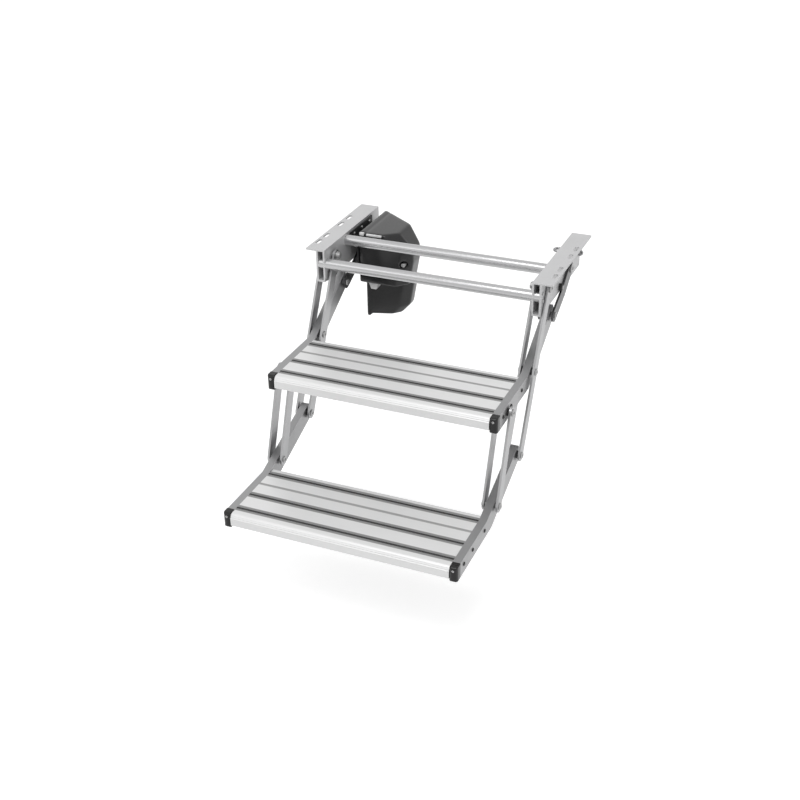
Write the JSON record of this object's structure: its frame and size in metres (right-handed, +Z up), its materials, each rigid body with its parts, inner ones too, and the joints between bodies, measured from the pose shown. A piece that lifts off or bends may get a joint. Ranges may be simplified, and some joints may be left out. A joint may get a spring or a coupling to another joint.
{
  "type": "caravan entry step",
  "caption": "Folding electric caravan entry step: grooved aluminium treads between side arms on a swinging link frame, hung under slotted chassis brackets beside a motor box.",
  "frame": {"origin": "centre of the outer slot pair of the left mounting flange, on the flange's top face", "axes": "+X to the right seen by a person who climbs the step, +Y to the rear under the vehicle, +Z up; the step stands deployed"},
  "size_m": [0.5402, 0.742, 0.4086],
  "materials": {
    "satin_aluminium": "satin anodised",
    "bright_aluminium": "bright anodised",
    "zinc_plate": "zinc plated, satin",
    "zinc_hardware": "zinc plated",
    "black_plastic": "moulded, semi matt",
    "black_paint": "powder coated, semi matt",
    "black_rubber": "matt",
    "grey_plastic": "moulded"
  },
  "bodies": {
    "chassis": {"bracket_left": "satin_aluminium", "bracket_right": "satin_aluminium", "tube_front": "bright_aluminium", "tube_rear": "bright_aluminium", "tube_plugs": "black_plastic", "tube_screws": "zinc_hardware", "link_bolts": "zinc_hardware", "link_nuts": "zinc_hardware", "link_washers": "zinc_hardware", "crank_bolt": "zinc_hardware", "stop_rubbers": "black_rubber", "stop_screws": "zinc_hardware", "eye_bolt": "zinc_hardware", "eye_nuts": "zinc_hardware", "motor_mount": "black_paint", "motor_upper": "black_plastic", "motor_lower": "black_plastic", "motor_screws": "zinc_hardware", "motor_label_bar": "grey_plastic", "motor_plug": "grey_plastic"},
    "long_links": {"link_left_inner": "zinc_plate", "link_left_outer": "zinc_plate", "link_right_inner": "zinc_plate", "link_right_outer": "zinc_plate", "step_bolts": "zinc_hardware", "step_bushes": "black_plastic"},
    "crank": {"crank_left_inner": "zinc_plate", "crank_left_outer": "zinc_plate", "crank_right_inner": "zinc_plate", "crank_right_outer": "zinc_plate", "crank_shaft": "zinc_hardware", "crank_studs": "zinc_hardware"},
    "front_links": {"front_left_inner": "zinc_plate", "front_left_outer": "zinc_plate", "front_right_inner": "zinc_plate", "front_right_outer": "zinc_plate", "front_bolts": "zinc_hardware", "front_bushes": "black_plastic", "front_studs": "zinc_hardware"},
    "upper_step": {"upper_tread": "bright_aluminium", "upper_strips": "black_rubber", "upper_arm_left": "satin_aluminium", "upper_arm_right": "satin_aluminium", "upper_caps": "black_plastic", "upper_cap_screws": "zinc_hardware", "upper_arm_screws": "zinc_hardware"},
    "lower_step": {"lower_tread": "bright_aluminium", "lower_strips": "black_rubber", "lower_arm_left": "satin_aluminium", "lower_arm_right": "satin_aluminium", "lower_caps": "black_plastic", "lower_cap_screws": "zinc_hardware", "lower_arm_screws": "zinc_hardware"}
  },
  "joints": [
    {"name": "link_fold", "type": "hinge", "parent": "chassis", "child": "long_links", "pos_m": [0.2606, -0.077, -0.026], "axis": [1, 0, 0], "range_deg": [0, 72]},
    {"name": "upper_step_pivot", "type": "hinge", "parent": "long_links", "child": "upper_step", "pos_m": [0.2606, -0.15345, -0.17801], "axis": [1, 0, 0], "range_deg": [-88.06, 0]},
    {"name": "lower_step_pivot", "type": "hinge", "parent": "long_links", "child": "lower_step", "pos_m": [0.2606, -0.2299, -0.33001], "axis": [1, 0, 0], "range_deg": [-91.35, 0]},
    {"name": "front_link_pivot", "type": "hinge", "parent": "upper_step", "child": "front_links", "pos_m": [0.2606, -0.298, -0.195], "axis": [1, 0, 0], "range_deg": [0, 78.47]},
    {"name": "crank_turn", "type": "hinge", "parent": "chassis", "child": "crank", "pos_m": [0.2606, 0.076, -0.044], "axis": [1, 0, 0], "range_deg": [0, 117.89]}
  ],
  "couplings": [
    {"joint": "upper_step_pivot", "follows": "link_fold", "ratio": -1.2224},
    {"joint": "lower_step_pivot", "follows": "link_fold", "ratio": -1.2681},
    {"joint": "front_link_pivot", "follows": "link_fold", "ratio": 1.0892},
    {"joint": "crank_turn", "follows": "link_fold", "ratio": 1.6366}
  ]
}
